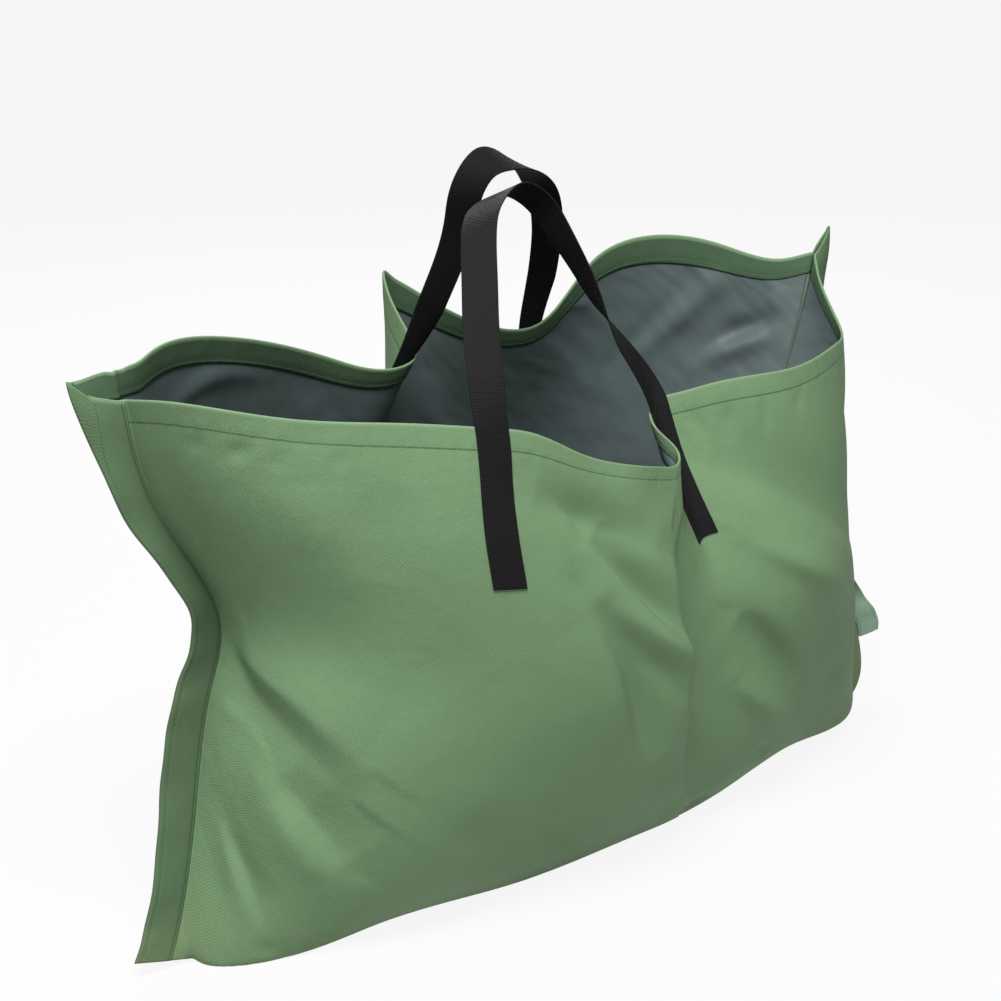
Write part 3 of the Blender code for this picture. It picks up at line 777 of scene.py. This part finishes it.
# the cloth's sheet from the hem's edge inside, over the rim and down outside, then the coating's
def makePanel(name, wall):
    middle, normals = wall["wide"], wall["wideNormals"]
    flapCount = len(binding["flapShares"])
    inWall = np.ones(middle.shape[1])
    inWall[:flapCount] = inWall[-flapCount:] = 0
    reach = wall["reach"] = reachAlong(middle[0])
    outside = hem["outside"]
    outerLift = rimPuckers(reach[None], downs[:, None]) * inWall + outside

    rows, uv = [], []
    turned = 2 * hem["foldRadius"] * (hem["flatInBinding"] + (1 - hem["flatInBinding"]) * inWall)
    for share in np.linspace(1, 0, hem["insideRows"]):
        down = hem["width"] * share + hem["edgeWander"] * np.sin(reach * 19) * share
        drawn, wide = hem["drawnTogether"]
        lift = outside - turned + drawn * near(down - hem["stitchDown"], wide) * inWall
        depth = down / pouch["drop"]
        rows.append(atDepth(middle, depth) + atDepth(normals, depth) * lift[:, None])
        uv.append(clothUv(reach, -down))
    rimUp = unit(middle[0] - middle[2])
    for angle in np.linspace(math.pi, 0, hem["foldRows"] + 2)[1:-1]:
        offset = outside - turned / 2 + turned / 2 * math.cos(angle)
        rise = turned / 2 * math.sin(angle) * hem["foldRise"]
        rows.append(middle[0] + normals[0] * offset[:, None] + rimUp * rise[:, None])
        uv.append(clothUv(reach, 0.0))
    rows.extend(middle + normals * outerLift[..., None])
    lower = reachAlong(middle)
    centred = lower + (reach[-1] - lower[:, -1:]) / 2
    uv.extend(clothUv(centred, downs[:, None]))
    piece = makeSheet(f"{name}PanelCloth", np.array(rows), np.array(uv), hem["cloth"], clothFinish)
    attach(piece, "pouch")
    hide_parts(f"{name}_panel", f"{name}_rim_hem")

    first = int(np.searchsorted(downs, hem["width"] * hem["coatingFrom"]))
    inner = wall["middle"][first:] - wall["normals"][first:] * hem["coatingInside"]
    lower = lower[first:, flapCount:-flapCount]
    uv = clothUv(lower, downs[first:, None])
    lining = makeSheet(f"{name}PanelCoating", inner, uv, hem["coating"], liningFinish)
    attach(lining, "pouch")
    return piece, lining


panels = {}
for name, wall in walls.items():
    panels[name], panels[name + "Coating"] = makePanel(name, wall)
print("panels made")


# a binding: down one face, round the fold and up the other
def makeBinding(side):
    at = np.linspace(0, 1, binding["rows"])
    points, out, front = seamFrame(side, at)
    wave = bindingWave(at)
    width, radius = binding["width"], binding["turnRadius"]
    face = np.linspace(0, 1, binding["facePoints"])
    turn = np.linspace(0, math.pi, binding["turnPoints"] + 2)[1:-1]
    endHalf = bindingHalf(at, 1.0)[:, None]
    endOffset = earOffset(side, 1, 1.0, at * pouch["drop"])
    section = [inBinding(side, 1, at, across, wave=wave) for across in face]
    section += [points + out * (width - radius + radius * math.sin(angle))
                + front * (endHalf * math.cos(angle) + wave) + endOffset for angle in turn]
    section += [inBinding(side, -1, at, across, wave=wave) for across in face[::-1]]
    around = np.concatenate((face * width, width + 0.001 * turn, (2 - face[::-1]) * width))
    grid = np.stack(section, axis=1)
    grid[..., 2] = np.maximum(grid[..., 2], binding["floorGap"])
    toRight = -1 if side == "left" else 1
    uv = clothUv(toRight * around[None], (at * pouch["drop"])[:, None])
    piece = makeSheet(f"{side}SideBinding", grid, uv, binding["cloth"], bindingFinish[side])
    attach(piece, "pouch")
    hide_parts(f"{side}_side_binding")


for side in ("left", "right"):
    makeBinding(side)
print("bindings made")

# the tape over the bottom seam, inside
tape = {
    "width": 0.026,
    "thickness": 0.0006,
    "span": (0.12, 0.86),
    "columns": 121,
    "fromWall": 0.0014,
    "fromKeel": 0.0016,
}
tapeShares = np.linspace(*tape["span"], tape["columns"])
edges, keels = [], []
for wall in walls.values():
    depth = 1 - tape["width"] / 2 / pouch["drop"]
    edges.append(sample(wall["middle"], tapeShares, depth)
                 - sample(wall["normals"], tapeShares, depth) * tape["fromWall"])
    keels.append(sample(wall["middle"], tapeShares, 1.0))
keelLine = (keels[0] + keels[1]) / 2 + np.array((0, 0, tape["fromKeel"]))
rows = [edges[which] * share + keelLine * (1 - share)
        for which, share in ((0, 1), (0, 0.5), (0, 0), (1, 0.5), (1, 1))]
across = np.linspace(0, tape["width"], len(rows))
uv = clothUv(tapeShares[None], across[:, None])
piece = makeSheet("bottomSeamTape", np.array(rows), uv, tape["thickness"], liningFinish)
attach(piece, "pouch")
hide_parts("bottom_seam_tape")
print("tape made")

# stitches: small round-ended lengths of thread, laid along a line on the cloth
stitch = {"long": 0.0031, "thick": 0.00055, "pitch": 0.0036, "rimEnds": 0.004, "rimSteps": 700}


def beadMesh(name):
    bead = bmesh.new()
    bmesh.ops.create_uvsphere(bead, u_segments=6, v_segments=4, radius=0.5)
    bmesh.ops.rotate(bead, verts=bead.verts, matrix=Matrix.Rotation(math.pi / 2, 3, "Y"))
    bmesh.ops.scale(bead, verts=bead.verts, vec=(stitch["long"], stitch["thick"], stitch["thick"]))
    mesh = bpy.data.meshes.new(name)
    bead.to_mesh(mesh)
    bead.free()
    return mesh


# runs are lines of points, each with the way the cloth faces there
def makeStitches(name, runs, material):
    bead = beadMesh(name + "Bead")
    shape = bmesh.new()
    for points, normals in runs:
        reach = reachAlong(points)
        count = max(1, int(reach[-1] / stitch["pitch"]))
        for at in (np.arange(count) + 0.5) * reach[-1] / count:
            step = lineAt(points, reach, at + 0.001) - lineAt(points, reach, at - 0.001)
            ahead = Vector(step).normalized()
            aside = Vector(lineAt(normals, reach, at)).cross(ahead).normalized()
            turn = Matrix((ahead, aside, ahead.cross(aside))).transposed().to_4x4()
            turn.translation = Vector(lineAt(points, reach, at))
            bead.transform(turn)
            shape.from_mesh(bead)
            bead.transform(turn.inverted())
    mesh = bpy.data.meshes.new(name)
    shape.to_mesh(mesh)
    shape.free()
    bpy.data.meshes.remove(bead)
    mesh.shade_smooth()
    mesh.materials.append(material)
    piece = addObject(name, mesh)
    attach(piece, "pouch")
    return piece


# the row round the rim, outside and inside
def stitchRim(name, wall):
    depth = hem["stitchDown"] / pouch["drop"]
    across = np.linspace(stitch["rimEnds"], 1 - stitch["rimEnds"], stitch["rimSteps"])
    line = sample(wall["middle"], across, depth)
    facing = sample(wall["normals"], across, depth)
    flapCount = len(binding["flapShares"])
    reach = np.interp(across, shares, wall["reach"][flapCount:-flapCount])
    outside, inside = hem["stitchLift"]
    lift = rimPuckers(reach, hem["stitchDown"]) + outside
    runs = [(line + facing * lift[:, None], facing),
            (line - facing * (2 * hem["foldRadius"] - inside), -facing)]
    return makeStitches(f"{name}HemStitches", runs, hemThread)


# the two rows down each face of a binding
def stitchBinding(side):
    at = np.linspace(0, 1, binding["rows"])
    front = seamFrame(side, at)[2]
    upper = 1 - smooth(at * pouch["drop"] / binding["topLength"])
    inner = np.full(len(at), binding["innerStitch"])
    outer = binding["outerStitch"] + (binding["topStitch"] - binding["outerStitch"]) * upper
    wave, lift = bindingWave(at), binding["stitchLift"]
    runs = []
    for face in (1, -1):
        for row, keep in ((inner, slice(3, -3)), (outer, slice(1, -3))):
            line = inBinding(side, face, at, row / binding["width"], -lift, wave)
            runs.append((line[keep], (front * face)[keep]))
    makeStitches(f"{side}BindingStitches", runs, seamThread)


stitches = {name: stitchRim(name, wall) for name, wall in walls.items()}
for side in ("left", "right"):
    stitchBinding(side)
print("stitches made")

# the handles: each one length of webbing, its legs on the panel and its loop over the mouth
# shares are of the way between the legs and of the loop's height, turn is how far the webbing lies
# over; legs are shares across the panel at the rim, half way down the sewn length and at its end
handles = {
    "width": 0.034,
    "thickness": 0.0016,
    "sewn": 0.150,
    "fromWall": 0.0007,
    "fromHinge": 0.030,     # the loop's own line starts this high, so that the webbing bends softly
    "across": 13,
    "rows": 460,
    "legRows": 31,
    "loopRows": 121,
    "turnSpan": 7,          # rows over which the webbing's turn is evened out
    "boxSide": 0.0135,      # half the width of a box of stitches
    "boxes": ((0.006, 0.040), (0.112, 0.146)),
    "boxSteps": 24,
    "boxLift": 0.0002,
    "front": {
        "hinges": ((-0.21728, -0.17082, 0.54891), (0.06909, -0.06609, 0.49329)),
        "legs": ((0.299, 0.3095, 0.3070), (0.626, 0.6225, 0.620)),
        "height": 0.206, "lean": 30.0,
        "shares": ((0.0, 0.0), (0.035, 0.136), (0.11, 0.365), (0.185, 0.553), (0.26, 0.74),
                   (0.335, 0.87), (0.47, 0.97), (0.60, 1.0), (0.705, 0.93), (0.757, 0.81),
                   (0.790, 0.69), (0.825, 0.54), (0.852, 0.38), (0.900, 0.20), (0.945, 0.09),
                   (1.0, 0.0)),
        "turn": ((0.0, 38), (0.06, 45), (0.20, 50), (0.34, 55), (0.50, 90), (0.60, 80), (0.66, 71),
                 (0.72, 62), (0.78, 54), (0.82, 44), (0.86, 26), (0.905, 11), (0.95, 3), (1.0, -4)),
    },
    "back": {
        "hinges": ((0.10238, 0.16375, 0.51366), (-0.10081, 0.10080, 0.52290)),
        "legs": ((0.668, 0.671, 0.674), (0.378, 0.375, 0.372)),
        "height": 0.202, "lean": 20.0,
        "shares": ((0.0, 0.0), (0.005, 0.11), (0.055, 0.30), (0.14, 0.51), (0.31, 0.74), (0.56, 0.92),
                   (0.80, 1.0), (0.945, 0.985), (1.0, 0.88), (0.97, 0.69), (0.95, 0.47), (0.975, 0.24),
                   (1.0, 0.0)),
        "turn": ((0.0, 28), (0.15, 34), (0.30, 45), (0.42, 72), (0.50, 92), (0.62, 126), (0.75, 143),
                 (0.85, 150), (1.0, 156)),
    },
}


# middle line and section of a leg, from the rim down to its square cut end
def sewnLeg(wall, places):
    down = np.linspace(0, handles["sewn"], handles["legRows"])
    depth = down / pouch["drop"]
    curve = np.polyfit((0.0, handles["sewn"] / 2, handles["sewn"]), places, 2)
    offsets = np.linspace(-0.5, 0.5, handles["across"]) * handles["width"]
    scale = np.interp(depth, depths, reachAlong(wall["middle"])[:, -1])
    places = np.polyval(curve, down)[:, None] + offsets[None] / scale[:, None]
    depth = np.repeat(depth[:, None], handles["across"], axis=1)
    facing = unit(sample(wall["normals"], places, depth))
    rows = sample(wall["middle"], places, depth)
    rows = rows + facing * (handles["fromWall"] + handles["thickness"] / 2)
    centre = handles["across"] // 2
    middle = rows[:, centre]
    return middle, rows - middle[:, None], facing[:, centre]


# the free loop: its middle line, the way across the webbing, and its height over the hinge
def freeLoop(entry, start, end, axis, up):
    at = np.linspace(0, 1, handles["loopRows"])
    flat = curveThrough(entry["shares"], at)
    height = flat[:, 1] * entry["height"]
    loop = start + flat[:, :1] * (end - start) + height[:, None] * up
    outward = np.cross(axis, up)
    sideways = np.cross(unit(np.gradient(loop, axis=0)), outward)
    stops, degrees = zip(*entry["turn"])
    span = handles["turnSpan"]
    turn = np.pad(np.interp(at, stops, degrees), span // 2, mode="edge")
    turn = np.radians(np.convolve(turn, np.full(span, 1 / span), mode="valid"))[:, None]
    return loop, unit(np.cos(turn) * sideways + np.sin(turn) * outward), height


def makeHandle(name, entry, legs):
    start, end = (np.array(point) for point in entry["hinges"])
    axis = unit(end - start)
    upright = unit(np.array((0.0, 0.0, 1.0)) - axis[2] * axis)
    lean = math.radians(entry["lean"])
    up = math.cos(lean) * upright + math.sin(lean) * np.cross(upright, axis)
    loop, width, height = freeLoop(entry, start, end, axis, up)
    keep = height > handles["fromHinge"]
    loop, width = loop[keep], width[keep]
    offsets = (np.linspace(-0.5, 0.5, handles["across"]) * handles["width"])[None, :, None]
    first, last = legs[0][1][::-1], legs[1][1]
    if np.dot(first[-1, -1], width[0]) < 0:
        first = first[:, ::-1]
    if np.dot(last[0, -1], width[-1]) < 0:
        last = last[:, ::-1]
    middle = np.concatenate((legs[0][0][::-1], loop, legs[1][0]))
    sections = np.concatenate((first, offsets * width[:, None], last))
    knots = reachAlong(middle)
    fine = np.linspace(0, knots[-1], handles["rows"])
    blended = lineAt(sections.reshape(len(knots), -1), knots, fine).reshape(len(fine), -1, 3)
    points = naturalCurve(knots, middle, fine)[:, None] + blended
    across = np.linspace(0, 1, handles["across"]) * handles["width"]
    uv = clothUv(across[None], fine[:, None])
    piece = makeSheet(f"{name}Handle", points, uv, handles["thickness"], webbingFinish, bevel=0.0004)
    tuple(start - up * 0.010)
    tuple(start + up * 0.025)
    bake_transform(piece)
    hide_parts(f"{name}_handle_left_leg", f"{name}_handle_right_leg", f"{name}_handle_loop")
    print(name, "handle made", round(float(knots[-1]), 3))


# a line of thread on a leg, between two places across and down it
def legRun(leg, first, second):
    middle, section, facing = leg
    grid = middle[:, None] + section
    share = np.linspace(0, 1, handles["boxSteps"])
    across = first[0] + (second[0] - first[0]) * share
    down = first[1] + (second[1] - first[1]) * share
    column = (across / handles["width"] + 0.5) * (handles["across"] - 1)
    row = down / handles["sewn"] * (len(middle) - 1)
    left, top = column.astype(int), row.astype(int)
    right, below = (column - left)[:, None], (row - top)[:, None]
    upper = grid[top, left] * (1 - right) + grid[top, left + 1] * right
    lower = grid[top + 1, left] * (1 - right) + grid[top + 1, left + 1] * right
    lift = facing[top] * (handles["thickness"] / 2 + handles["boxLift"])
    return upper * (1 - below) + lower * below + lift, facing[top]


# a box with a cross in it at the top and at the bottom of each leg
def stitchLegs(name, legs):
    runs = []
    side = handles["boxSide"]
    for leg in legs:
        for top, bottom in handles["boxes"]:
            corners = ((-side, top), (side, top), (side, bottom), (-side, bottom), (-side, top),
                       (side, bottom), (side, top), (-side, bottom))
            runs += [legRun(leg, first, second) for first, second in zip(corners, corners[1:])]
    makeStitches(f"{name}HandleStitches", runs, blackThread)


legs = {name: [sewnLeg(wall, places) for places in handles[name]["legs"]]
        for name, wall in walls.items()}
for name in walls:
    makeHandle(name, handles[name], legs[name])
for name in walls:
    stitchLegs(name, legs[name])
print("handle stitches made")

# a white studio: pale floor, a broad lamp high in front and a weak one behind on the right,
# and the camera where the photograph was taken from
studio = {
    "target": (-0.06412, 0.00864, 0.366),
    "azimuth": -38.0,
    "elevation": 20.0,
    "distance": 2.3,
    "lens": 80.2,
    "lamps": {"key": ((-0.28, -0.36, 0.89), 101.0), "back": ((0.45, 0.75, 0.50), 34.0)},
    "lampDistance": 2.6,
    "lampSize": 1.4,
    "fill": 0.20,
    "floorSize": 40,
    "floorTone": 0.6,
    "floorGlow": 0.90,
}

floorShape = bmesh.new()
bmesh.ops.create_grid(floorShape, x_segments=1, y_segments=1, size=studio["floorSize"])
floorMesh = bpy.data.meshes.new("floor")
floorShape.to_mesh(floorMesh)
floorShape.free()
floor = addObject("floor", floorMesh)
floorFinish = Finish("paleFloor", (studio["floorTone"],) * 3, 0.7)
path = floorFinish.node("LightPath")
seen = path.math("MAXIMUM", path, path.other("Is Glossy Ray"))
glow = floorFinish.node("Emission", None, {"Color": (1, 1, 1, 1), "Strength": 1.0})
plain = Signal(floorFinish, floorFinish.shader.outputs[0])
mixed = floorFinish.node("MixShader", None, {0: seen * studio["floorGlow"], 1: plain, 2: glow})
floorFinish.feed(floorFinish.nodes["Material Output"].inputs["Surface"], mixed)
floorMesh.materials.append(floorFinish.material)

# the world is white where the camera sees it, and lights the bag more weakly
scene.world = bpy.data.worlds.new("studio")
sky = Tree(scene.world)
rays = sky.node("LightPath")
direct = rays.math("MAXIMUM", rays, rays.other("Is Transmission Ray"))
level = sky.node("MapRange", None, {"Value": direct, "To Min": studio["fill"], "To Max": 1.0})
sky.feed(sky.nodes["Background"].inputs["Color"], (1, 1, 1, 1))
sky.feed(sky.nodes["Background"].inputs["Strength"], level)


# adds a lamp or the camera, looking at the bag from a way off
def addLooking(name, data, towards, distance):
    item = addObject(name, data)
    item.location = Vector(studio["target"]) + towards * distance
    item.rotation_mode = "QUATERNION"
    item.rotation_quaternion = (-towards).to_track_quat("-Z", "Y")
    return item


for name, (towards, power) in studio["lamps"].items():
    light = bpy.data.lights.new(name, "AREA")
    light.shape = "DISK"
    light.size = studio["lampSize"]
    light.energy = power
    addLooking(name, light, Vector(towards).normalized(), studio["lampDistance"])

azimuth, elevation = math.radians(studio["azimuth"]), math.radians(studio["elevation"])
towards = Vector((math.sin(azimuth) * math.cos(elevation), -math.cos(azimuth) * math.cos(elevation),
                  math.sin(elevation)))
camera = bpy.data.cameras.new("camera")
camera.lens = studio["lens"]
camera.sensor_width = 36
scene.camera = addLooking("camera", camera, towards, studio["distance"])
scene.view_settings.view_transform = "Standard"
print("studio set")
